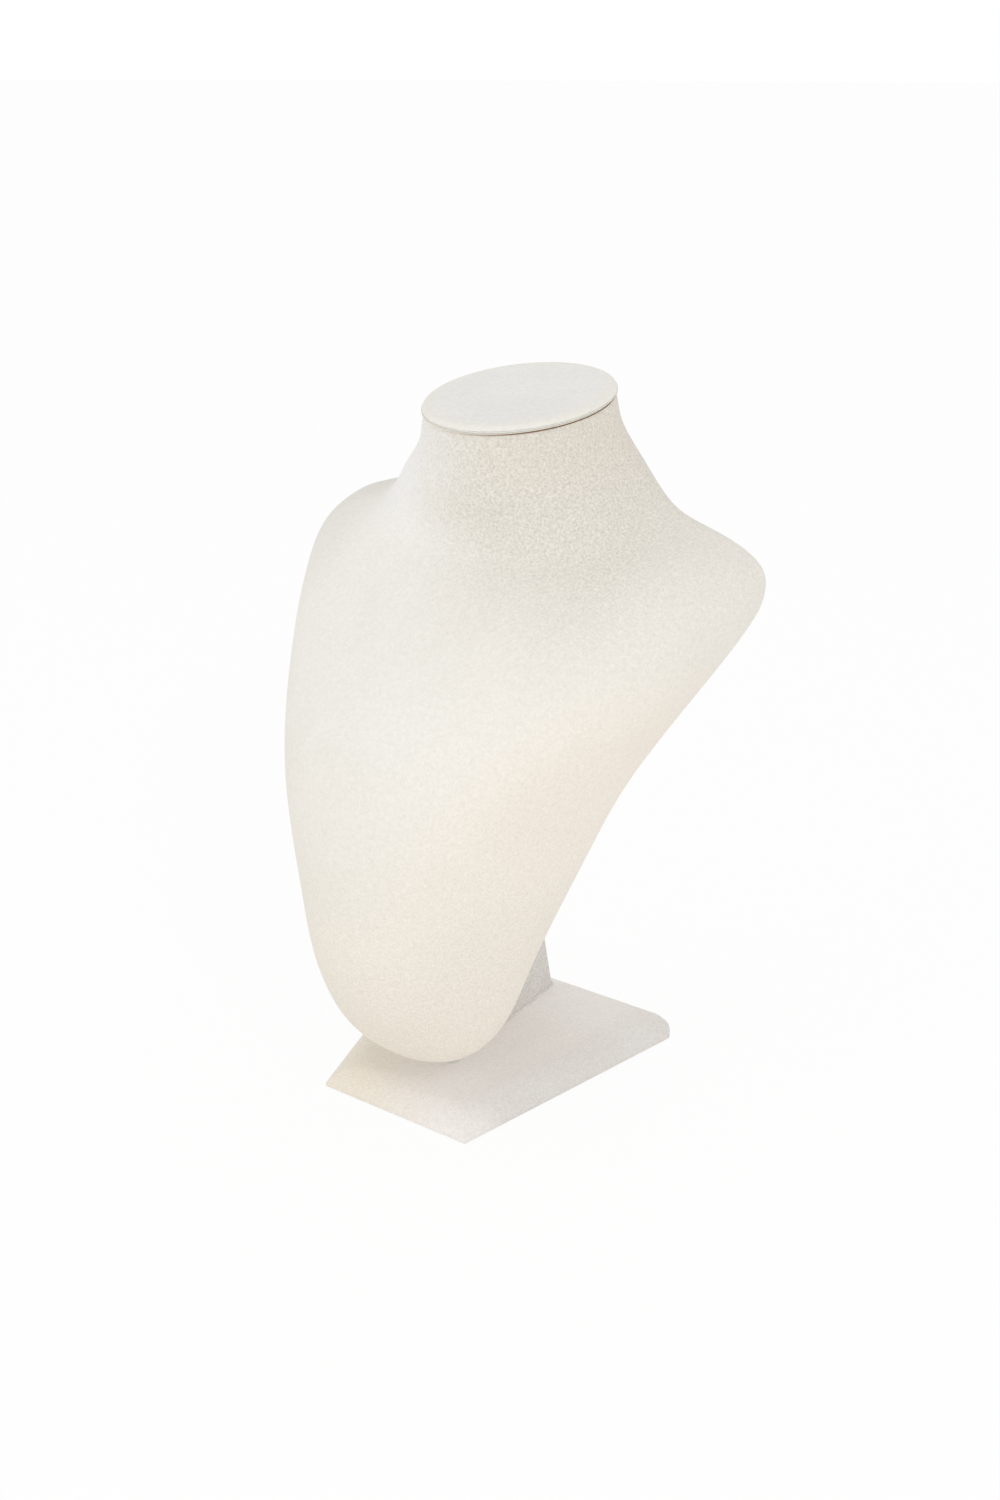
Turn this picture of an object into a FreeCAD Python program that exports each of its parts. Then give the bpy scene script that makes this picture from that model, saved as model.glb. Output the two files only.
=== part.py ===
import FreeCAD, Part
import math
import os

from FreeCAD import Placement, Rotation, Vector

os.makedirs("parts", exist_ok=True)

# A suede-covered necklace bust on a trapezoid base, all in millimetres.
# X runs across, Y to the back, Z up. The origin is the middle of the base's underside.

# Cloth and card
suede = 0.7                  # thickness of the suede cover
lining_thickness = 0.5       # felt sheet under the base
lining_inset = 3.0           # felt edge in from the base's edge
base_hem = 11.0              # suede turned under the base board
back_hem = 12.0              # suede turned onto the back of the bust
neck_hem = 9.0               # suede turned onto the top of the neck
cap_hem = 8.0                # suede turned under the neck cap
card_thickness = 1.2         # card that finishes the back
card_inset = 4.5             # card edge in from the edge of the flat back

# Base
base_depth = 126.0
base_front_width = 77.0
base_rear_width = 145.0
base_board_thickness = 7.0
base_edge_height = 1.6       # upright edge under the rounded top
base_roll_width = 15.0       # width over which the top rounds down to the front and the sides
base_rear_roll_width = 1.2   # the same at the rear
base_rear_roll_drop = 0.8    # how far the top comes down at the rear
base_corner_radius = 4.5     # rear corners, seen from above

# Bust, measured along the neck's axis from the lowest point of the tip
body_height = 184.3          # tip to the widest point of the shoulders
neck_height = 69.0           # widest point to the top of the neck
wall = 3.5                   # wall of the moulded shell
tip_width_height = 55.9      # height over which the tip rounds out sideways
tip_front_height = 67.9      # height over which the tip rounds out to the front
back_roll_height = 34.0      # height over which the lower rim rolls into the back
rim_roll = 4.0               # depth of the rolled rim behind the widest line
front_fullness = 0.57        # 0.55 is an ellipse, 1 is a square corner
back_fullness = 0.77

# Half widths up the body, then up the neck
tip_half_width = 67.9
waist_half_width = 50.1
belly_half_width = 58.0
breast_half_width = 72.3
armpit_half_width = 92.5
shoulder_half_width = 106.9
shoulder_top_half_width = 99.8
shoulder_slope_half_width = 68.3
neck_root_half_width = 55.5
neck_flare_half_width = 42.7

# Depths from the widest line to the front, up the body, then up the neck
tip_depth = 26.2
waist_depth = 57.0
belly_depth = 82.2
breast_depth = 107.7
chest_depth = 122.8
shoulder_depth = 94.5
collar_depth = 59.4
throat_depth = 52.9

# Depths from the widest line to the back, up the neck
shoulder_back_depth = 21.6
nape_back_depth = 33.9

# Back and pose of the bust
back_lean = 27.9             # the flat back from upright, in degrees
neck_tip = 8.5               # the neck leans forward by this, in degrees
neck_setback = 126.4         # neck's axis behind the tip
flat_back_share = 0.9        # share of the body's height with a straight back
flat_back_depth = 1.0        # how far the flat is cut into the rounded back
tip_setback = 11.2           # tip behind the front edge of the base
tip_gap = 19.2               # tip above the top of the base

# Back panel in the shell
panel_thickness = 3.0
panel_share = 0.86           # share of the body's height that the panel reaches
panel_corner_radius = 16.0
panel_lip = 1.8              # shell left outside the panel's edge
panel_ledge = 2.5            # ledge under the panel's edge
ledge_thickness = 2.5
panel_clearance = 0.2

# Neck cap, an oval board in its own cover
cap_board_thickness = 2.4
cap_half_width = 39.4
cap_half_depth = 44.1
cap_overhang = 1.0           # cap edge outside the covered neck
cap_edge_radius = 1.3

# Support post, a fin that stands on the base and carries the back
post_width = 13.0
post_front_setback = 36.5    # foot's front edge behind the base's front edge
post_rear_inset = 4.5        # foot's rear edge before the base's rear edge
post_rear_lean = 13.8        # rear edge leans forward, in degrees
post_tip_length = 9.0        # blunt end at the top of the fin
post_edge_radius = 2.6

# Wood screws, two up into the post and two through the back panel
screw_length = 28.0
screw_core_radius = 1.6
screw_head_radius = 3.6
screw_head_height = 2.4
screw_recess_length = 3.6
screw_recess_width = 0.9
screw_recess_depth = 1.4
screw_end_inset = 19.0       # first and last screw in from the ends of the post
hole_clearance = 0.3

# Places that follow from the sizes
base_cover_bottom = lining_thickness
base_board_bottom = base_cover_bottom + suede
base_board_top = base_board_bottom + base_board_thickness
base_top = base_board_top + suede
base_front = -base_depth / 2
base_rear = base_depth / 2
base_flare = math.atan2((base_rear_width - base_front_width) / 2, base_depth)
neck_half_width = cap_half_width - cap_overhang - suede
neck_half_depth = cap_half_depth - cap_overhang - suede
bust_height = body_height + neck_height
panel_top = panel_share * body_height
nape_back = neck_setback + neck_half_depth
lean_on_axis = math.radians(back_lean + neck_tip)
back_up = Vector(0, math.sin(lean_on_axis), math.cos(lean_on_axis))
back_out = Vector(0, math.cos(lean_on_axis), -math.sin(lean_on_axis))
back_foot = Vector(0, rim_roll, 0)
flat_level = -flat_back_depth
panel_level = flat_level - panel_thickness
card_level = flat_level + suede
card_top_level = card_level + card_thickness
seat_level = card_top_level + suede
bust_seat = Placement(Vector(0, base_front + tip_setback, base_top + tip_gap),
                      Rotation(Vector(1, 0, 0), neck_tip))
round_pull = 0.5523          # control point share that makes a quarter ellipse
far = 400.0                  # longer than the whole stand
side_points = 14             # points along each side of the back's outline
tangent_step = 0.02          # share of the rise over which the outline's direction is taken
edge_rings = 3               # steps in the rounded edge of the cap


def save(shape, node):
    """Write one node."""
    shape.exportStep("parts/" + node + ".step")
    print(node, "valid" if shape.isValid() else "not valid", len(shape.Solids), round(shape.Volume, 1))


def glide(start, end, leave, arrive, t):
    """Cubic from start to end with the slopes it leaves and arrives with, t from 0 to 1."""
    return ((2 * t ** 3 - 3 * t ** 2 + 1) * start + (t ** 3 - 2 * t ** 2 + t) * leave
            + (3 * t ** 2 - 2 * t ** 3) * end + (t ** 3 - t ** 2) * arrive)


def through(stations, height):
    """Smooth value at a height through (height, value) stations."""
    xs, ys = zip(*stations)
    gaps = [b - a for a, b in zip(xs, xs[1:])]
    rises = [(b - a) / gap for a, b, gap in zip(ys, ys[1:], gaps)]
    slopes = [(gap_above * rise + gap * rise_above) / (gap + gap_above)
              for gap, gap_above, rise, rise_above in zip(gaps, gaps[1:], rises, rises[1:])]
    slopes = [2 * rises[0] - slopes[0]] + slopes + [2 * rises[-1] - slopes[-1]]
    i = max(0, min(len(gaps) - 1, sum(height > x for x in xs) - 1))
    return glide(ys[i], ys[i + 1], gaps[i] * slopes[i], gaps[i] * slopes[i + 1], (height - xs[i]) / gaps[i])


def body_at(share):
    return share * body_height


def neck_at(share):
    return body_height + share * neck_height


# Guide curves of the bust, from the tip to the top of the neck
width_line = [(body_at(0.0), tip_half_width), (body_at(0.2), waist_half_width),
              (body_at(0.42), belly_half_width), (body_at(0.64), breast_half_width),
              (body_at(0.82), armpit_half_width), (body_at(1.0), shoulder_half_width),
              (neck_at(0.2), shoulder_top_half_width), (neck_at(0.38), shoulder_slope_half_width),
              (neck_at(0.58), neck_root_half_width), (neck_at(0.8), neck_flare_half_width),
              (neck_at(1.0), neck_half_width)]
front_line = [(body_at(0.0), tip_depth), (body_at(0.2), waist_depth), (body_at(0.4), belly_depth),
              (body_at(0.6), breast_depth), (body_at(0.8), chest_depth), (body_at(1.0), shoulder_depth),
              (neck_at(0.33), collar_depth), (neck_at(0.66), throat_depth),
              (neck_at(1.0), neck_half_depth)]
rear_line = [(body_at(0.0), rim_roll), (body_at(0.5), rim_roll), (body_at(1.0), rim_roll),
             (neck_at(0.38), shoulder_back_depth), (neck_at(0.7), nape_back_depth),
             (neck_at(1.0), neck_half_depth)]


def back_at(height):
    """Back line behind the tip: straight, then bent up into the nape."""
    bend = flat_back_share * body_height
    slope = math.tan(lean_on_axis)
    if height <= bend:
        return rim_roll + height * slope
    reach = bust_height - bend
    start = rim_roll + bend * slope
    leave = slope * reach
    arrive = 2 * (nape_back - start) - leave
    return glide(start, nape_back, leave, arrive, (height - bend) / reach)


def rounding(height, reach):
    """Quarter-circle growth from 0 at the tip to 1 at the reach."""
    turn = max(0.0, min(1.0, height / reach))
    return math.sqrt(1 - (1 - turn) ** 2)


def section(width, front, rear, middle, height, front_pull, rear_pull):
    """Level outline in four curved quarters that meet at its widest line and at its middle."""
    quarters = []
    for side, depth, pull in [(1, -front, front_pull), (-1, -front, front_pull),
                              (-1, rear, rear_pull), (1, rear, rear_pull)]:
        curve = Part.BezierCurve()
        curve.setPoles([Vector(side * width, middle, height),
                        Vector(side * width, middle + pull * depth, height),
                        Vector(side * width * pull, middle + depth, height),
                        Vector(0, middle + depth, height)])
        quarters.append(curve.toShape())
    return Part.Wire(Part.__sortEdges__(quarters))


def oval(half_width, half_depth, middle, height):
    return section(half_width, half_depth, half_depth, middle, height, round_pull, round_pull)


def ring(height, grow):
    """Section of the bust, grown by a cover or shrunk by a wall."""
    lifted = height + grow
    width = (through(width_line, height) + grow) * rounding(lifted, tip_width_height + grow)
    front = (through(front_line, height) + grow) * rounding(lifted, tip_front_height + grow)
    roll = through(rear_line, height)
    rear = (roll + grow / math.cos(lean_on_axis)) * rounding(lifted, back_roll_height + grow)
    middle = back_at(height) - roll
    neck_share = max(0.0, min(1.0, (height - body_height) / neck_height))
    front_pull = front_fullness + (round_pull - front_fullness) * neck_share
    rear_pull = back_fullness + (round_pull - back_fullness) * math.sqrt(neck_share)
    return section(width, front, rear, middle, height, front_pull, rear_pull)


def bust_body(grow):
    """The whole bust as one lofted solid with a flat top."""
    reach = tip_width_height + grow
    tip_turns = [0.03, 0.1, 0.22, 0.4, 0.6, 0.8, 1.0]
    heights = [-grow + reach * (1 - math.cos(turn * math.pi / 2)) for turn in tip_turns]
    tip_end = heights[-1]
    body_rings = 5
    neck_rings = 8
    heights += [tip_end + (body_height - tip_end) * i / body_rings for i in range(1, body_rings + 1)]
    heights += [body_height + (neck_height + grow) * i / neck_rings for i in range(1, neck_rings + 1)]
    return Part.makeLoft([ring(height, grow) for height in heights], True, False)


def on_back(shape):
    """Lay a shape against the flat back: its Y becomes the level, its Z the way up the back."""
    shape.Placement = Placement(back_foot, Rotation(Vector(1, 0, 0), -math.degrees(lean_on_axis)))
    return shape


def behind_back(level):
    """Everything behind a level of the flat back."""
    return on_back(Part.makeBox(2 * far, far, 2 * far, Vector(-far, level, -far)))


def flat_half_width(height):
    """Half width of the flat that the back plane cuts through the rolled rim."""
    width = through(width_line, height) * rounding(height, tip_width_height)
    depth = (rim_roll - flat_back_depth / math.cos(lean_on_axis)) / rounding(height, back_roll_height)
    low, high = 0.0, 1.0
    for _ in range(40):
        t = (low + high) / 2
        reached = rim_roll * (3 * (1 - t) ** 2 * t * back_fullness + 3 * (1 - t) * t ** 2 + t ** 3)
        low, high = (t, high) if reached < depth else (low, t)
    return width * ((1 - t) ** 3 + 3 * (1 - t) ** 2 * t + 3 * (1 - t) * t ** 2 * back_fullness)


def flat_edge(height):
    """Point on the right edge of the flat, drawn on the back's own plane."""
    return Vector(flat_half_width(height), 0, height / math.cos(lean_on_axis))


def back_plate(inset, start, end):
    """Shield-shaped plate between two levels of the back, its edge in from the edge of the flat."""
    slant = math.cos(lean_on_axis)
    share = 1 - flat_back_depth / slant / rim_roll
    foot = back_roll_height * (1 - math.sqrt(1 - share ** 2))
    reach = panel_top - panel_corner_radius * slant - foot
    rises = [reach * (1 - math.cos(i / side_points * math.pi / 2)) for i in range(1, side_points + 1)]
    edge = [Vector(0, 0, foot / slant)]
    ways = [Vector(1, 0, 0)]
    for rise in rises:
        edge.append(flat_edge(foot + rise))
        ways.append(flat_edge(foot + rise * (1 + tangent_step)) - flat_edge(foot + rise * (1 - tangent_step)))
    for way in ways:
        way.normalize()
    edge = [point + Vector(-way.z, 0, way.x) * inset for point, way in zip(edge, ways)]
    radius = panel_corner_radius - inset
    corner_reach = edge[-1].x - radius
    top = panel_top / slant - inset
    outline = [Part.makeLine(Vector(corner_reach, start, top), Vector(-corner_reach, start, top))]
    for side in (1, -1):
        points = [Vector(side * point.x, start, point.z) for point in edge]
        arrive = Vector(side * ways[-1].x, 0, ways[-1].z)
        curve = Part.BSplineCurve()
        curve.interpolate(Points=points, InitialTangent=Vector(side, 0, 0), FinalTangent=arrive)
        corner = Part.BezierCurve()
        corner.setPoles([points[-1], points[-1] + arrive * radius * round_pull,
                         Vector(side * (corner_reach + radius * round_pull), start, top),
                         Vector(side * corner_reach, start, top)])
        outline += [curve.toShape(), corner.toShape()]
    outline = Part.Wire(Part.__sortEdges__(outline))
    return on_back(Part.Face(outline).extrude(Vector(0, end - start, 0)))


def oval_plate(half_width, half_depth, bottom, top):
    """Upright oval plate on the neck's axis."""
    face = Part.Face(oval(half_width, half_depth, neck_setback, bottom))
    return face.extrude(Vector(0, 0, top - bottom))


def soft_oval_plate(half_width, half_depth, bottom, top, radius):
    """Oval plate with rounded top and bottom edges."""
    middle = oval_plate(half_width, half_depth, bottom + radius, top - radius)
    ends = []
    for level, way in ((bottom, 1), (top, -1)):
        rings = []
        for i in range(edge_rings + 1):
            turn = i / edge_rings * math.pi / 2
            inset = radius * (1 - math.sin(turn))
            height = level + way * radius * (1 - math.cos(turn))
            rings.append(oval(half_width - inset, half_depth - inset, neck_setback, height))
        ends.append(Part.makeLoft(rings[::way], True, True))
    return middle.fuse(ends)


def base_sheet(inset, bottom, top):
    """Plain trapezoid plate, its edges in from the edges of the base."""
    front = base_front + inset
    rear = base_rear - inset

    def half_width(depth):
        return base_front_width / 2 + (depth - base_front) * math.tan(base_flare) - inset / math.cos(base_flare)

    corners = [Vector(-half_width(front), front, bottom), Vector(half_width(front), front, bottom),
               Vector(half_width(rear), rear, bottom), Vector(-half_width(rear), rear, bottom)]
    return Part.Face(Part.makePolygon(corners + corners[:1])).extrude(Vector(0, 0, top - bottom))


def rounded_top(facing, reach, width, drop, inset):
    """Everything under a top that rounds down to an edge, at a reach from the middle and facing an angle."""
    radius = (width ** 2 + drop ** 2) / (2 * drop)
    middle = Vector(reach - width, -far, base_top - radius)
    turn = (radius - inset) * math.sqrt(0.5)
    crown = middle + Vector(0, 0, radius - inset)
    side = middle + Vector(radius - inset, 0, 0)
    corners = [side, Vector(side.x, -far, -far), Vector(-far, -far, -far), Vector(-far, -far, crown.z), crown]
    outline = [Part.makeLine(start, end) for start, end in zip(corners, corners[1:])]
    outline.append(Part.Arc(crown, middle + Vector(turn, 0, turn), side).toShape())
    slab = Part.Face(Part.Wire(outline)).extrude(Vector(0, 2 * far, 0))
    slab.rotate(Vector(0, 0, 0), Vector(0, 0, 1), facing)
    return slab


def base_form(inset):
    """Trapezoid block with a rounded top and rounded rear corners, shrunk by an inset."""
    form = base_sheet(inset, base_cover_bottom + inset, base_top - inset)
    upright = [edge for edge in form.Edges if edge.BoundBox.ZLength > base_edge_height]
    form = form.makeFillet(base_corner_radius - inset, [edge for edge in upright if edge.CenterOfMass.y > 0])
    side_reach = base_front_width / 2 * math.cos(base_flare) + base_depth / 2 * math.sin(base_flare)
    side_facing = math.degrees(base_flare)
    drop = base_top - base_cover_bottom - base_edge_height
    form = form.common(rounded_top(-90, base_depth / 2, base_roll_width, drop, inset))
    form = form.common(rounded_top(-side_facing, side_reach, base_roll_width, drop, inset))
    form = form.common(rounded_top(180 + side_facing, side_reach, base_roll_width, drop, inset))
    return form.common(rounded_top(90, base_depth / 2, base_rear_roll_width, base_rear_roll_drop, inset))


# The fin's edges in its own plane, each a point and a direction
world_up = bust_seat.Rotation.multVec(back_up)
world_out = bust_seat.Rotation.multVec(back_out)
seat_point = bust_seat.multVec(back_foot + back_out * seat_level)
rear_up = Vector(0, -math.sin(math.radians(post_rear_lean)), math.cos(math.radians(post_rear_lean)))
rear_out = Vector(0, rear_up.z, -rear_up.y)


def crossing(first_point, first_direction, second_point, second_direction):
    """Point where two lines in the plane of the fin cross."""
    gap = second_point - first_point
    across = first_direction.y * second_direction.z - first_direction.z * second_direction.y
    share = (gap.y * second_direction.z - gap.z * second_direction.y) / across
    return first_point + first_direction * share


def fin_corners(inset):
    """Foot front, foot rear, rear top, seat top and seat bottom, with the open edges set in."""
    foot_front = Vector(0, base_front + post_front_setback + inset, base_top)
    foot_rear = Vector(0, base_rear - post_rear_inset, base_top) - rear_out * inset
    foot_rear = crossing(foot_rear, rear_up, foot_front, Vector(0, 1, 0))
    apex = crossing(foot_rear + rear_out * inset, rear_up, seat_point, world_up)
    end_drop = post_tip_length / math.tan(math.radians(back_lean + post_rear_lean)) + inset
    seat_top = apex - world_up * end_drop
    rear_top = crossing(seat_top, world_out, foot_rear, rear_up)
    seat_bottom = crossing(foot_front, Vector(0, 0, 1), seat_point, world_up)
    return [foot_front, foot_rear, rear_top, seat_top, seat_bottom]


def fin(inset):
    """Fin between the base and the back, with its open edges rounded."""
    corners = fin_corners(inset)
    half = post_width / 2 - inset
    plate = Part.Face(Part.makePolygon(corners + corners[:1])).extrude(Vector(2 * half, 0, 0))
    plate.translate(Vector(-half, 0, 0))
    foot_front, foot_rear, rear_top, seat_top, seat_bottom = corners
    open_sides = [(foot_rear, rear_top), (rear_top, seat_top), (foot_front, seat_bottom)]
    middles = [(a + b) * 0.5 + Vector(side * half, 0, 0) for a, b in open_sides for side in (-1, 1)]
    edges = [edge for edge in plate.Edges if min(edge.CenterOfMass.distanceToPoint(m) for m in middles) < 0.01]
    return plate.makeFillet(post_edge_radius - inset, edges)


def along(shape, start, direction):
    """Place a shape made upwards at the origin."""
    shape.Placement = Placement(start, Rotation(Vector(0, 0, 1), direction))
    return shape


def screw_head(start, direction):
    head = Part.makeCone(screw_head_radius, screw_core_radius, screw_head_height)
    return along(head, start, direction)


def screw(start, direction):
    """Countersunk wood screw with a cross recess."""
    point_length = 2 * screw_core_radius
    shank = Part.makeCylinder(screw_core_radius, screw_length - point_length)
    tip = Part.makeCone(screw_core_radius, 0, point_length, Vector(0, 0, screw_length - point_length))
    head = Part.makeCone(screw_head_radius, screw_core_radius, screw_head_height)
    body = shank.fuse(head).fuse(tip)
    for width, depth in ((screw_recess_width, screw_recess_length), (screw_recess_length, screw_recess_width)):
        body = body.cut(Part.makeBox(width, depth, screw_recess_depth, Vector(-width / 2, -depth / 2, 0)))
    return along(body.removeSplitter(), start, direction)


def screw_hole(start, direction):
    hole = Part.makeCylinder(screw_core_radius + hole_clearance, screw_length)
    return along(hole, start, direction)


# Screws: two up through the base, two out through the back panel
foot_front, foot_rear, rear_top, seat_top, seat_bottom = fin_corners(0)
head_level = panel_level - seat_level
base_starts = [Vector(0, foot_front.y + screw_end_inset, base_board_bottom),
               Vector(0, foot_rear.y - screw_end_inset, base_board_bottom)]
back_starts = [seat_bottom + world_up * screw_end_inset + world_out * head_level,
               seat_top - world_up * screw_end_inset + world_out * head_level]
screw_seats = [(start, Vector(0, 0, 1)) for start in base_starts] + [(start, world_out) for start in back_starts]


def drilled(shape, seats, countersunk):
    """Cut the clearance holes of some screws, with their heads' seats where they lie in the shape."""
    for start, direction in seats:
        shape = shape.cut(screw_hole(start, direction))
        if countersunk:
            shape = shape.cut(screw_head(start, direction))
    return shape


def on_stand(shape):
    """Move a piece of the bust from the neck's axis to its place over the base."""
    moved = shape.copy()
    moved.Placement = bust_seat.multiply(moved.Placement)
    return moved


def make_bust():
    """Shell, its cover, the panel, card and suede of its back, and the neck cap."""
    form = bust_body(0).cut(behind_back(flat_level))
    ledge_level = panel_level - ledge_thickness
    cavity = bust_body(-wall).cut(behind_back(ledge_level))
    recess = back_plate(panel_lip, panel_level, flat_level)
    opening = back_plate(panel_lip + panel_ledge, ledge_level - wall, panel_level)
    shell = form.cut(cavity).cut(recess).cut(opening)
    save(on_stand(shell), "bust_shell")

    cover = bust_body(suede).cut(behind_back(card_level)).cut(form)
    cover = cover.cut(back_plate(back_hem, flat_level, card_level))
    neck_top = bust_height + suede
    cover = cover.cut(oval_plate(neck_half_width - neck_hem, neck_half_depth - neck_hem, bust_height, neck_top))
    save(on_stand(cover), "bust_cover")

    back_seats = screw_seats[2:]
    panel = back_plate(panel_lip + panel_clearance, panel_level, flat_level)
    save(drilled(on_stand(panel), back_seats, True), "back_panel")
    card = back_plate(card_inset, card_level, card_top_level)
    hollow = back_plate(card_inset, panel_level, card_top_level)
    wrap = back_plate(card_inset - suede, card_level, seat_level).cut(hollow)
    save(drilled(on_stand(card), back_seats, False), "back_card")
    save(drilled(on_stand(wrap), back_seats, False), "back_suede")

    cap_board_bottom = neck_top + suede
    cap_board_top = cap_board_bottom + cap_board_thickness
    board = soft_oval_plate(cap_half_width - suede, cap_half_depth - suede,
                            cap_board_bottom, cap_board_top, cap_edge_radius - suede)
    outer = soft_oval_plate(cap_half_width, cap_half_depth, neck_top, cap_board_top + suede, cap_edge_radius)
    window = oval_plate(cap_half_width - cap_hem, cap_half_depth - cap_hem, neck_top, cap_board_bottom)
    save(on_stand(board), "neck_cap")
    save(on_stand(outer.cut(board).cut(window)), "neck_cap_cover")


def make_post():
    """Fin of board with the suede sleeve round it."""
    board = fin(suede)
    sleeve = fin(0).cut(board)
    for start, direction in screw_seats:
        board = board.cut(screw(start, direction))
    save(board, "support_post")
    save(sleeve, "post_cover")


def make_base():
    """Base board, its cover turned under, and the felt sheet below."""
    base_seats = screw_seats[:2]
    board = base_form(suede)
    cover = base_form(0).cut(board)
    cover = cover.cut(base_sheet(base_hem, base_cover_bottom, base_board_bottom))
    save(drilled(board, base_seats, True), "base_board")
    save(drilled(cover, base_seats, False), "base_cover")
    save(base_sheet(lining_inset, 0, lining_thickness), "base_lining")


make_bust()
make_post()
make_base()
save(Part.makeCompound([screw(start, direction) for start, direction in screw_seats]), "screws")
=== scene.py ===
import math

import bmesh
import bpy
from mathutils import Matrix, Vector


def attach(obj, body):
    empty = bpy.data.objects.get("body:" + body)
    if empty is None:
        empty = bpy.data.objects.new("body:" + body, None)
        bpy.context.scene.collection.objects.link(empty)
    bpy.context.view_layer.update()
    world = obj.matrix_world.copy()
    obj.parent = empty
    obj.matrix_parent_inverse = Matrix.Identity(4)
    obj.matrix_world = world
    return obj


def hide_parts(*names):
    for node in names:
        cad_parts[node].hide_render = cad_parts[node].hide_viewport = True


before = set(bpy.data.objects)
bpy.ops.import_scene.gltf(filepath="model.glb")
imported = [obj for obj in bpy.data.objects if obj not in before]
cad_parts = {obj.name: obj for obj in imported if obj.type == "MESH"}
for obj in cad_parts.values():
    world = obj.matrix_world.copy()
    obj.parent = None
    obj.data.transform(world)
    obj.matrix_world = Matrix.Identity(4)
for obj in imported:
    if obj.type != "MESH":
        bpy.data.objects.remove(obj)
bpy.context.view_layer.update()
print("frame loaded,", len(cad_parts), "nodes")


class Socket:
    # a shader output that can be used in sums and products

    def __init__(self, paint, output):
        self.paint = paint
        self.output = output

    def joined(self, operation, first, second):
        return self.paint.node("ShaderNodeMath", {"operation": operation}, {0: first, 1: second})

    def __add__(self, other):
        return self.joined("ADD", self, other)

    def __radd__(self, other):
        return self.joined("ADD", other, self)

    def __sub__(self, other):
        return self.joined("SUBTRACT", self, other)

    def __rsub__(self, other):
        return self.joined("SUBTRACT", other, self)

    def __mul__(self, other):
        return self.joined("MULTIPLY", self, other)

    def __rmul__(self, other):
        return self.joined("MULTIPLY", other, self)

    def clamped(self):
        # held between 0 and 1
        held = self + 0.0
        held.output.node.use_clamp = True
        return held

    def ramp(self, low, high):
        # 0 at low, 1 at high, smooth between
        settings = {"interpolation_type": "SMOOTHSTEP"}
        inputs = {"Value": self, "From Min": low, "From Max": high}
        return self.paint.node("ShaderNodeMapRange", settings, inputs)


class Paint:
    # the nodes of one material, or of the world

    def __init__(self, name, family=bpy.data.materials):
        self.owner = family.new(name)
        self.owner.use_nodes = True
        self.tree = self.owner.node_tree
        self.tree.nodes.clear()

    def node(self, kind, settings=None, inputs=None, output=0):
        made = self.tree.nodes.new(kind)
        for key, value in (settings or {}).items():
            setattr(made, key, value)
        for key, value in (inputs or {}).items():
            if isinstance(value, Socket):
                self.tree.links.new(value.output, made.inputs[key])
            else:
                made.inputs[key].default_value = value
        return Socket(self, made.outputs[output]) if made.outputs else made

    def place(self, scale=(1, 1, 1)):
        where = self.node("ShaderNodeTexCoord", output="Object")
        return self.node("ShaderNodeMapping", {}, {"Vector": where, "Scale": scale})

    def parts(self, where):
        # the three parts of a place: to the right, to the rear and up
        split = self.node("ShaderNodeSeparateXYZ", {}, {"Vector": where}).output.node
        return [Socket(self, split.outputs[axis]) for axis in "XYZ"]

    def noise(self, where, size, detail=2.0, roughness=0.5, distortion=0.0):
        # soft spots of about the given size in metres
        inputs = {"Vector": where, "Scale": 1 / size, "Detail": detail, "Roughness": roughness,
                  "Distortion": distortion}
        return self.node("ShaderNodeTexNoise", {}, inputs)

    def blend(self, share, first, second, way="MIX"):
        settings = {"data_type": "RGBA", "blend_type": way}
        return self.node("ShaderNodeMix", settings, {"Factor": share, 6: first, 7: second}, output=2)

    def bumped(self, height, strength, distance):
        return self.node("ShaderNodeBump", {}, {"Height": height, "Strength": strength, "Distance": distance})

    def finish(self, shader, end="ShaderNodeOutputMaterial"):
        self.node(end, {}, {"Surface": shader})
        return self.owner

    def coated(self, surface):
        return self.finish(self.node("ShaderNodeBsdfPrincipled", {}, surface))


def tone(red, green, blue):
    # a colour as it looks on screen, from 0 to 255, made linear
    def linear(part):
        part /= 255
        return part / 12.92 if part <= 0.04045 else ((part + 0.055) / 1.055) ** 2.4
    return (linear(red), linear(green), linear(blue), 1.0)


suedeLook = {
    "light": (242, 239, 232),
    "dark": (239, 235, 227),
    "patch": 0.055,          # size of the faint patches of the two tones
    "patchEdges": (0.3, 0.7),
    "pebble": 0.00098,       # size of one pebble of the nap
    "fibre": 0.0004,
    "depth": 0.00022,        # height of the pebbles
    "fibreHeight": 0.25,     # against the pebbles' height
    "bump": 0.7,
    "raised": 0.0,           # 0 where the nap lies flat, 1 where it stands up in fine pebbles
    "leastFine": 0.4,        # share of fine pebbles where it lies flat
    "contrast": 0.09,        # how dark the hollows between the pebbles are: painted shade in the hollows
    "fibreContrast": 0.05,
    "roughness": 0.88,
    "fibreRoughness": 0.1,
    "sheen": 0.1,
    "sheenRoughness": 0.5,
    "specular": 0.15,
}


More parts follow.
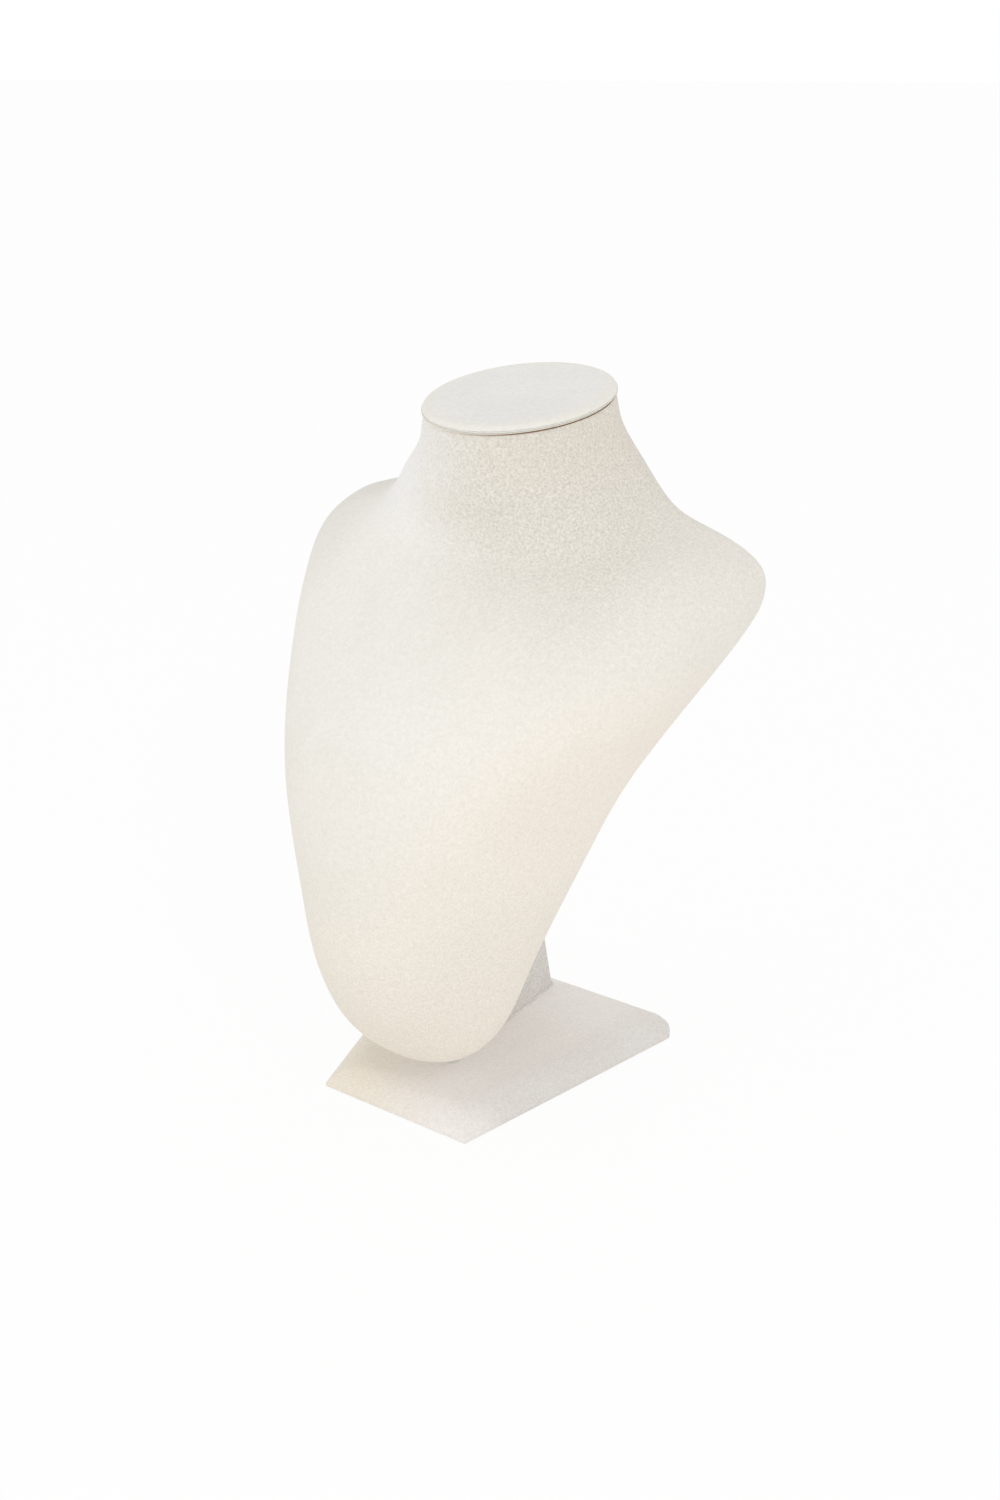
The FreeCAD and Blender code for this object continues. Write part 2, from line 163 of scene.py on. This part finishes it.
class Suede(Paint):
    # brushed microfibre: a pebbled nap, stroked up or down from place to place

    def __init__(self, name, changes=None):
        super().__init__(name)
        self.look = look = {**suedeLook, **(changes or {})}
        self.where = self.place()
        self.across, self.depth, self.height = self.parts(self.where)
        self.patches = self.noise(self.where, look["patch"], distortion=0.4)
        light, dark = tone(*look["light"]), tone(*look["dark"])
        self.colour = self.blend(self.patches.ramp(*look["patchEdges"]), dark, light)
        self.raised = look["raised"]
        self.contrast = look["contrast"]
        self.worn = 0.0
        self.shade = 1.0

    def tint(self, share, colour):
        self.colour = self.blend(share, self.colour, tone(*colour))

    def warmTip(self, zone):
        # warmer and more worn towards the tip, and a lighter, warmer band of painted light along the right
        # edge
        share = (1 - self.height.ramp(*zone["height"])) * zone["share"]
        self.tint((share * (zone["steady"] + zone["patchy"] * self.patches)).clamped(), zone["tone"])
        # painted light: the warm light along the lower right edge
        rightWarmLight = self.height.ramp(*zone["rightWarmLightRise"]) * (1 - self.height.ramp(*zone["rightWarmLightFall"]))
        rightWarmLight = rightWarmLight * self.across.ramp(*zone["rightWarmLightAcross"])
        self.tint(zone["rightWarmLightShare"] * rightWarmLight, zone["rightWarmLightTone"])
        self.worn = share + zone["rightWarmLightWear"] * rightWarmLight
        self.contrast = self.contrast + zone["contrast"] * self.worn
        return self

    def napAndShadeOnNeck(self, zone):
        # the nap stands up in finer pebbles on the neck and the right shoulder; painted shade makes these
        # darker with darker hollows, painted light makes the left lighter, and painted shade darkens the far
        # end of the left shoulder and lies under the cap at the right
        neckZone = (self.height + zone["slope"] * self.across).ramp(*zone["height"])
        raised = neckZone * (self.across + zone["ragged"] * self.patches).ramp(*zone["across"])
        raised = raised * (1 - zone["shoulderLoss"] * self.across.ramp(*zone["shoulder"]))
        inner = self.across.ramp(*zone["farAcross"])
        far = self.height.ramp(*zone["farHeight"]) * (1 - inner)
        self.raised = raised
        # painted shade: darker hollows and a darker tone on the neck and right shoulder, and a darker far
        # left shoulder
        self.contrast = self.contrast + zone["contrast"] * raised
        self.shade = self.shade - zone["shade"] * raised - zone["farShade"] * far
        # painted light: the left of the neck lighter
        flat = neckZone * (1 - self.across.ramp(*zone["across"])) * inner
        self.tint(zone["litLeftShare"] * flat, zone["litLeftTone"])
        self.tint(raised, zone["tone"])
        # painted shadow under the cap at the right
        under = self.height.ramp(*zone["underCapShadowHeight"]) * self.across.ramp(*zone["underCapShadowAcross"])
        self.tint(zone["underCapShadowShare"] * under, zone["underCapShadowTone"])
        return self

    def shadeAndTintBase(self, zone):
        # painted shade darkens the right side, and the left front is yellower
        right = (self.across - zone["flare"] * self.depth).ramp(*zone["across"])
        right = right * self.depth.ramp(*zone["depth"])
        # painted shade on the right side
        self.shade = self.shade - zone["shade"] * right
        lean = zone["leftLean"] * (self.depth + zone["leftStart"])
        left = 1 - (self.across + lean + zone["ragged"] * self.patches).ramp(*zone["leftAcross"])
        self.tint(left, zone["leftTone"])
        return self

    def rimHighlightTint(self, colour):
        # painted highlight: a yellower tint where the mesh's rim attribute says it is the rolled rim
        self.tint(self.node("ShaderNodeAttribute", {"attribute_name": "rim"}, output="Fac"), colour)
        return self

    def brushed(self):
        # the pebbles, fine where the nap is raised or worn and broad elsewhere
        look = self.look
        small = self.noise(self.where, look["pebble"], detail=1.0, roughness=0.45, distortion=0.25)
        broad = self.noise(self.where, 2 * look["pebble"], detail=1.0, roughness=0.45, distortion=0.25)
        fibre = self.noise(self.where, look["fibre"], roughness=0.6)
        fine = look["leastFine"] + (1 - look["leastFine"]) * (self.raised + self.worn)
        if isinstance(fine, Socket):
            fine = fine.clamped()
        pebbles = small * fine + broad * (1 - fine)
        shade = self.shade + self.contrast * (pebbles - 0.5) * 2 + look["fibreContrast"] * (fibre - 0.5)
        grey = self.node("ShaderNodeCombineColor", {}, {0: shade, 1: shade, 2: shade})
        return self.coated({
            "Base Color": self.blend(1.0, self.colour, grey, "MULTIPLY"),
            "Roughness": look["roughness"] + look["fibreRoughness"] * fibre,
            "Normal": self.bumped(pebbles + look["fibreHeight"] * fibre, look["bump"], look["depth"]),
            "Sheen Weight": look["sheen"],
            "Sheen Roughness": look["sheenRoughness"],
            "Specular IOR Level": look["specular"],
        })


# where the nap and the painted light and shade change: heights and places in metres, each pair from nothing
# to full

tipNap = {
    "height": (0.03, 0.185),        # full at the low end
    "share": 0.95,
    "tone": (236, 227, 213),
    "steady": 0.6,
    "patchy": 0.5,
    "contrast": 0.09,
    # painted light along the lower right edge
    "rightWarmLightRise": (0.05, 0.15),
    "rightWarmLightFall": (0.15, 0.24),       # fades again upwards
    "rightWarmLightAcross": (0.0, 0.09),
    "rightWarmLightShare": 0.5,
    "rightWarmLightWear": 0.6,
    "rightWarmLightTone": (248, 234, 218),
}
neckNapAndShade = {
    "height": (0.212, 0.268),
    "slope": 0.24,                  # reaches lower to the right
    "across": (-0.036, 0.028),
    "ragged": 0.02,                 # how far the patches shift its left edge
    "shoulder": (0.055, 0.095),
    "shoulderLoss": 0.6,
    # painted shade: the darker tone and darker hollows of the neck and right shoulder
    "tone": (228, 223, 213),
    "contrast": 0.18,
    "shade": 0.02,
    "litLeftShare": 0.8,               # the painted light at its left
    "litLeftTone": (247, 246, 245),
    "farHeight": (0.2, 0.24),       # the far end of the left shoulder
    "farAcross": (-0.082, -0.05),   # full at the low end
    "farShade": 0.07,
    "underCapShadowHeight": (0.258, 0.288),  # painted shadow just under the cap
    "underCapShadowAcross": (-0.012, 0.036),
    "underCapShadowShare": 0.4,
    "underCapShadowTone": (225, 215, 203),
}
baseShadeAndTint = {
    "flare": 0.27,                  # slant of the base's side
    "across": (0.03, 0.056),
    "depth": (-0.056, -0.036),
    # painted shade on the right side
    "shade": 0.13,
    "leftLean": 0.35,               # how far the yellower front leans to the left towards the rear
    "leftStart": 0.06,              # from a line this far before the origin
    "leftAcross": (-0.022, 0.03),   # full at the low end
    "ragged": 0.01,
    "leftTone": (239, 231, 217),
}

# what the other covers change of the bust's suede: it is one suede, and the tones are painted light and
# shade, darker on the post in shade, a little lighter on the base against the bust's shade and cooler on the
# cap
capCloth = {"light": (239, 238, 234), "dark": (235, 233, 229), "contrast": 0.1, "rim": (239, 236, 228)}
baseCloth = {"light": (243, 239, 235), "dark": (240, 235, 229), "contrast": 0.14, "raised": 0.5}
postShadedCloth = {"light": (219, 215, 210), "dark": (214, 209, 203), "contrast": 0.3, "raised": 0.7}

bustSuede = Suede("bustSuede").warmTip(tipNap).napAndShadeOnNeck(neckNapAndShade).brushed()
# painted highlight: a yellower tint on the cap's rolled rim
capSuede = Suede("capSuede", capCloth).rimHighlightTint(capCloth["rim"]).brushed()
baseSuede = Suede("baseSuede", baseCloth).shadeAndTintBase(baseShadeAndTint).brushed()
postShadedSuede = Suede("postShadedSuede", postShadedCloth).brushed()

boardLook = {
    "fleckEdges": (0.35, 0.65),
    "roughness": 0.75,
    "fleckRoughness": 0.15,
    "bump": 0.3,
    "depth": 0.0002,         # height of the flecks
}
steelLook = {
    "light": (222, 220, 212),
    "dark": (196, 192, 178),
    "scratch": 1 / 900,
    "squeezed": 8,           # how much shorter the scratches are upwards
    "roughness": 0.28,
    "scratchRoughness": 0.2,
}


def board(name, light, dark, fleckSize):
    # pressed fibreboard, card, moulding or felt with short flecks
    paint = Paint(name)
    flecks = paint.noise(paint.place(), fleckSize, detail=4.0, roughness=0.65)
    return paint.coated({
        "Base Color": paint.blend(flecks.ramp(*boardLook["fleckEdges"]), tone(*dark), tone(*light)),
        "Roughness": boardLook["roughness"] + boardLook["fleckRoughness"] * flecks,
        "Normal": paint.bumped(flecks, boardLook["bump"], boardLook["depth"]),
    })


def steel(name):
    # plated steel with fine level scratches
    paint = Paint(name)
    scratches = paint.noise(paint.place((1, 1, steelLook["squeezed"])), steelLook["scratch"])
    return paint.coated({
        "Base Color": paint.blend(scratches, tone(*steelLook["dark"]), tone(*steelLook["light"])),
        "Metallic": 1.0,
        "Roughness": steelLook["roughness"] + steelLook["scratchRoughness"] * scratches,
    })


fibreboard = board("fibreboard", (188, 160, 122), (160, 132, 96), 0.0009)
greyCard = board("greyCard", (196, 194, 188), (176, 174, 168), 0.0006)
mouldedShell = board("mouldedShell", (214, 210, 200), (200, 195, 184), 0.004)
feltSheet = board("feltSheet", (206, 203, 198), (184, 181, 176), 0.0007)
platedSteel = steel("platedSteel")

finishes = {
    "bust_shell": mouldedShell, "bust_cover": bustSuede, "back_panel": fibreboard, "back_card": greyCard,
    "back_suede": baseSuede, "neck_cap": fibreboard, "neck_cap_cover": capSuede, "support_post": fibreboard,
    "post_cover": postShadedSuede, "base_board": fibreboard, "base_cover": baseSuede, "base_lining": feltSheet,
    "screws": platedSteel,
}
for nodeName, material in finishes.items():
    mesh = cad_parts[nodeName].data
    mesh.materials.clear()
    mesh.materials.append(material)
print("materials set")


def asPiece(name, mesh):
    piece = bpy.data.objects.new(name, mesh)
    bpy.context.scene.collection.objects.link(piece)
    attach(piece, "root")
    return piece


def beadTree():
    # Geometry Nodes: a round bead swept along a path
    tree = bpy.data.node_groups.new("beadAlongPath", "GeometryNodeTree")
    for name, kind in (("Path", "Geometry"), ("Radius", "Float"), ("Sides", "Int"), ("Finish", "Material")):
        tree.interface.new_socket(name, in_out="INPUT", socket_type="NodeSocket" + kind)
    tree.interface.new_socket("Bead", in_out="OUTPUT", socket_type="NodeSocketGeometry")
    start = tree.nodes.new("NodeGroupInput")
    circle = tree.nodes.new("GeometryNodeCurvePrimitiveCircle")
    sweep = tree.nodes.new("GeometryNodeCurveToMesh")
    smooth = tree.nodes.new("GeometryNodeSetShadeSmooth")
    real = tree.nodes.new("GeometryNodeRealizeInstances")
    paintOn = tree.nodes.new("GeometryNodeSetMaterial")
    end = tree.nodes.new("NodeGroupOutput")
    sweep.inputs["Fill Caps"].default_value = True
    links = tree.links
    links.new(start.outputs["Radius"], circle.inputs["Radius"])
    links.new(start.outputs["Sides"], circle.inputs["Resolution"])
    links.new(start.outputs["Path"], sweep.inputs["Curve"])
    links.new(circle.outputs["Curve"], sweep.inputs["Profile Curve"])
    links.new(sweep.outputs["Mesh"], smooth.inputs["Geometry"])
    links.new(smooth.outputs["Geometry"], real.inputs["Geometry"])
    links.new(real.outputs["Geometry"], paintOn.inputs["Geometry"])
    links.new(start.outputs["Finish"], paintOn.inputs["Material"])
    links.new(paintOn.outputs["Geometry"], end.inputs["Bead"])
    return tree


sweptBead = beadTree()


def beadPiece(name, points, radius, sides, finish):
    path = bpy.data.curves.new(name + "Path", "CURVE")
    path.dimensions = "3D"
    spline = path.splines.new("POLY")
    spline.points.add(len(points) - 1)
    for spot, point in zip(spline.points, points):
        spot.co = (*point, 1.0)
    spline.use_cyclic_u = True
    holder = bpy.data.objects.new(name + "Path", path)
    bpy.context.scene.collection.objects.link(holder)
    sweep = holder.modifiers.new("sweep", "NODES")
    sweep.node_group = sweptBead
    named = {item.name: item.identifier for item in sweptBead.interface.items_tree if item.in_out == "INPUT"}
    sweep[named["Radius"]] = radius
    sweep[named["Sides"]] = sides
    sweep[named["Finish"]] = finish
    bpy.context.view_layer.update()
    mesh = bpy.data.meshes.new_from_object(holder.evaluated_get(bpy.context.evaluated_depsgraph_get()))
    holder.modifiers.remove(sweep)
    bpy.data.objects.remove(holder)
    form = bmesh.new()
    form.from_mesh(mesh)
    bmesh.ops.remove_doubles(form, verts=form.verts, dist=1e-6)
    bmesh.ops.recalc_face_normals(form, faces=form.faces)
    form.to_mesh(mesh)
    form.free()
    mesh.name = name
    return asPiece(name, mesh)


# the bust's own frame: its origin under the tip, its Z up the neck
bustStance = {"foot": (0, -0.0518, 0.0281), "lean": 8.5}
bustSeat = Matrix.Translation(bustStance["foot"]) @ Matrix.Rotation(math.radians(bustStance["lean"]), 4, "X")

capLook = {
    "middle": 0.1264,        # neck's axis behind the tip
    "bottom": 0.254,         # underside of the cap along the neck
    "halfWidth": 0.0394,
    "halfDepth": 0.0441,
    "height": 0.0038,
    "hem": 0.008,            # suede turned under
    "lowerRoll": 0.0013,
    "lowerSteps": 6,
    "upperRoll": 0.0024,
    "upperSteps": 8,
    "crown": 0.0003,
    "topRings": 16,
    "rimStart": 0.2,         # share of the rim's painted highlight tint where the lower roll begins
    "rimFade": (0.8, 0.55, 0.15),    # and on the rings where the upper roll meets the top
    "skin": 0.00035,
    "cut": (0.104, 0.113),   # the oval of suede before it is drawn over the board
    "around": 128,
}


def onCap(halfWidth, halfDepth, height, angle):
    # a place on an oval round the neck's axis
    across = halfWidth * math.cos(angle)
    back = capLook["middle"] + halfDepth * math.sin(angle)
    return bustSeat @ Vector((across, back, height))


def quarter(step, count):
    # the angle after some of a quarter turn's steps
    return step / count * math.pi / 2


def capRings():
    # inset, height and share of the rim's tone, from the hem up to the top's edge
    look = capLook
    lower, upper = look["lowerRoll"], look["upperRoll"]
    top = look["height"] - look["crown"]
    rings = [(look["hem"], 0.0, 0.0), (look["hem"] / 2, 0.0, 0.0)]
    for step in range(look["lowerSteps"] + 1):
        turn = quarter(step, look["lowerSteps"])
        share = look["rimStart"] + (1 - look["rimStart"]) * math.sin(turn)
        rings.append((lower * (1 - math.sin(turn)), lower * (1 - math.cos(turn)), share))
    for step in range(look["upperSteps"] + 1):
        turn = quarter(step, look["upperSteps"])
        share = 1.0 if step < look["upperSteps"] else look["rimFade"][0]
        rings.append((upper * (1 - math.cos(turn)), top - upper * (1 - math.sin(turn)), share))
    return rings


def makeCap():
    # suede drawn over the oval board: a soft roll at the rim and a top a little crowned
    look = capLook
    form = bmesh.new()
    # the rim attribute carries the share of the painted highlight tint
    tint = form.verts.layers.float.new("rim")
    loops = []

    def addLoop(halfWidth, halfDepth, height, share):
        loop = []
        for step in range(look["around"]):
            angle = step / look["around"] * 2 * math.pi
            vert = form.verts.new(onCap(halfWidth, halfDepth, look["bottom"] + height, angle))
            vert[tint] = share
            loop.append(vert)
        loops.append(loop)

    for inset, height, share in capRings():
        addLoop(look["halfWidth"] - inset, look["halfDepth"] - inset, height, share)
    top = look["height"] - look["crown"]
    topWidth, topDepth = look["halfWidth"] - look["upperRoll"], look["halfDepth"] - look["upperRoll"]
    for step in range(1, look["topRings"]):
        outwards = 1 - step / look["topRings"]
        rim = look["rimFade"][step] if step < len(look["rimFade"]) else 0.0
        addLoop(topWidth * outwards, topDepth * outwards, top + look["crown"] * (1 - outwards ** 2), rim)
    for first, second in zip(loops, loops[1:]):
        for a, b, c, d in zip(first, first[1:] + first[:1], second[1:] + second[:1], second):
            form.faces.new((a, b, c, d))
    peak = form.verts.new(onCap(0, 0, look["bottom"] + look["height"], 0))
    for a, b in zip(loops[-1], loops[-1][1:] + loops[-1][:1]):
        form.faces.new((a, b, peak))
    bmesh.ops.recalc_face_normals(form, faces=form.faces)
    for face in form.faces:
        face.smooth = True
    mesh = bpy.data.meshes.new("capSkin")
    form.to_mesh(mesh)
    form.free()
    mesh.materials.append(capSuede)
    cap = asPiece("capSkin", mesh)
    wall = cap.modifiers.new("wall", "SOLIDIFY")
    wall.thickness = look["skin"]
    wall.offset = -1
    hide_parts("neck_cap_cover")


# painted shadow: a dark bead in the gap under the cap
capGapShadowLook = {
    "radius": 0.00033,
    "inset": 0.00095,
    "drop": 0.00012,
    "around": 160,
    "sides": 8,
    "light": (248, 241, 230),
    "dark": (128, 98, 70),
    "darkens": (-0.015, 0.036),     # from left to right
    "speckle": 1 / 900,
    "ragged": 0.01,
    "roughness": 0.85,
    "speckleRoughness": 0.1,
    "specular": 0.1,
}


def capGapShadowFinish():
    # painted shadow: a dark bead in the gap under the cap, darkest at the right
    look = capGapShadowLook
    paint = Paint("foldShade")
    where = paint.place()
    across = paint.parts(where)[0]
    speckle = paint.noise(where, look["speckle"])
    share = (across + look["ragged"] * speckle).ramp(*look["darkens"])
    return paint.coated({
        "Base Color": paint.blend(share, tone(*look["light"]), tone(*look["dark"])),
        "Roughness": look["roughness"] + look["speckleRoughness"] * speckle,
        "Specular IOR Level": look["specular"],
    })


def makeCapGapShadow():
    # painted shadow: a dark bead round the neck just under the cap
    look = capGapShadowLook
    halfWidth, halfDepth = capLook["halfWidth"] - look["inset"], capLook["halfDepth"] - look["inset"]
    height = capLook["bottom"] - look["drop"]
    turns = [step / look["around"] * 2 * math.pi for step in range(look["around"])]
    points = [onCap(halfWidth, halfDepth, height, turn) for turn in turns]
    beadPiece("capGapShadow", points, look["radius"], look["sides"], capGapShadowFinish())


weltLook = {
    "front": -0.0265,
    "rear": 0.0585,
    "half": 0.0065,
    "corner": 0.0026,
    "cornerSteps": 6,
    "stand": 0.0001,         # how far the bead's middle stands off post and base
    "top": 0.0089,           # top of the base
    "radius": 0.0008,
    "sides": 10,
}


def makeWelt():
    # the bead of suede that closes the foot of the post against the base
    look = weltLook
    corner = look["corner"] + look["stand"]
    right = look["half"] + look["stand"] - corner
    front = look["front"] - look["stand"] + corner
    rear = look["rear"] + look["stand"] - corner
    height = look["top"] + look["stand"]
    points = []
    corners = ((right, rear, 0), (-right, rear, 90), (-right, front, 180), (right, front, 270))
    for middleX, middleY, begin in corners:
        for step in range(look["cornerSteps"] + 1):
            turn = math.radians(begin + step * 90 / look["cornerSteps"])
            points.append((middleX + corner * math.cos(turn), middleY + corner * math.sin(turn), height))
    beadPiece("postWelt", points, look["radius"], look["sides"], postShadedSuede)


makeCap()
makeCapGapShadow()
makeWelt()
print("cap, crease and welt made")


studio = {
    "floorSize": 160.0,
    "floorTone": (252, 252, 251),
    "shadowShare": 0.09,     # how much of the real floor the camera sees, the rest being white
    "worldLevel": 0.83,
    "aim": (0.0, 0.0, 0.15),
    "lamps": {
        "keyLamp": {"place": (-0.869, -1.506, 0.616), "size": 1.0, "power": 2.7},
        "fillLamp": {"place": (1.332, -1.118, 0.616), "size": 1.0, "power": 1.4},
        "spotLamp": {"place": (1.203, -0.752, 1.258), "size": 0.3, "power": 2.6},
    },
}
white = (1, 1, 1, 1)


def makeFloor():
    half = studio["floorSize"] / 2
    mesh = bpy.data.meshes.new("floor")
    corners = [(-half, -half, 0), (half, -half, 0), (half, half, 0), (-half, half, 0)]
    mesh.from_pydata(corners, [], [(0, 1, 2, 3)])
    floor = bpy.data.objects.new("floor", mesh)
    bpy.context.scene.collection.objects.link(floor)
    paint = Paint("floorPaint")
    matt = paint.node("ShaderNodeBsdfDiffuse", {}, {"Color": tone(*studio["floorTone"])})
    glow = paint.node("ShaderNodeEmission", {}, {"Color": white, "Strength": 1.0})
    seen = paint.node("ShaderNodeLightPath", output="Is Camera Ray")
    share = seen * (1 - studio["shadowShare"])
    mesh.materials.append(paint.finish(paint.node("ShaderNodeMixShader", {}, {0: share, 1: matt, 2: glow})))


def makeWorld():
    # white behind the stand and in its reflections, a little softer as a light
    paint = Paint("studioWorld", bpy.data.worlds)
    soft = paint.node("ShaderNodeBackground", {}, {"Color": white, "Strength": studio["worldLevel"]})
    full = paint.node("ShaderNodeBackground", {}, {"Color": white, "Strength": 1.0})
    seen = paint.node("ShaderNodeLightPath", output="Is Camera Ray")
    mirrored = paint.node("ShaderNodeLightPath", output="Is Glossy Ray")
    share = seen.joined("MAXIMUM", seen, mirrored)
    mixed = paint.node("ShaderNodeMixShader", {}, {0: share, 1: soft, 2: full})
    bpy.context.scene.world = paint.finish(mixed, "ShaderNodeOutputWorld")


def makeLamp(name, place, size, power):
    lamp = bpy.data.lights.new(name, "AREA")
    lamp.shape = "DISK"
    lamp.size = size
    lamp.energy = power
    holder = bpy.data.objects.new(name, lamp)
    holder.location = place
    holder.rotation_euler = (Vector(studio["aim"]) - Vector(place)).to_track_quat("-Z", "Y").to_euler()
    bpy.context.scene.collection.objects.link(holder)


makeFloor()
makeWorld()
for lampName, lampLook in studio["lamps"].items():
    makeLamp(lampName, **lampLook)
print("studio ready")


cameraView = {
    "place": (0.37186, -0.52858, 0.42384),
    "turnLeft": 34.094,
    "lookDown": 22.77,
    "lens": 38.75,
    "sensor": 36.0,
}
lens = bpy.data.cameras.new("photoCamera")
lens.lens = cameraView["lens"]
lens.sensor_width = cameraView["sensor"]
camera = bpy.data.objects.new("photoCamera", lens)
camera.location = cameraView["place"]
camera.rotation_euler = (math.radians(90 - cameraView["lookDown"]), 0, math.radians(cameraView["turnLeft"]))
bpy.context.scene.collection.objects.link(camera)
bpy.context.scene.camera = camera
bpy.context.scene.view_settings.view_transform = "Standard"
print("camera placed")

bpy.context.view_layer.update()
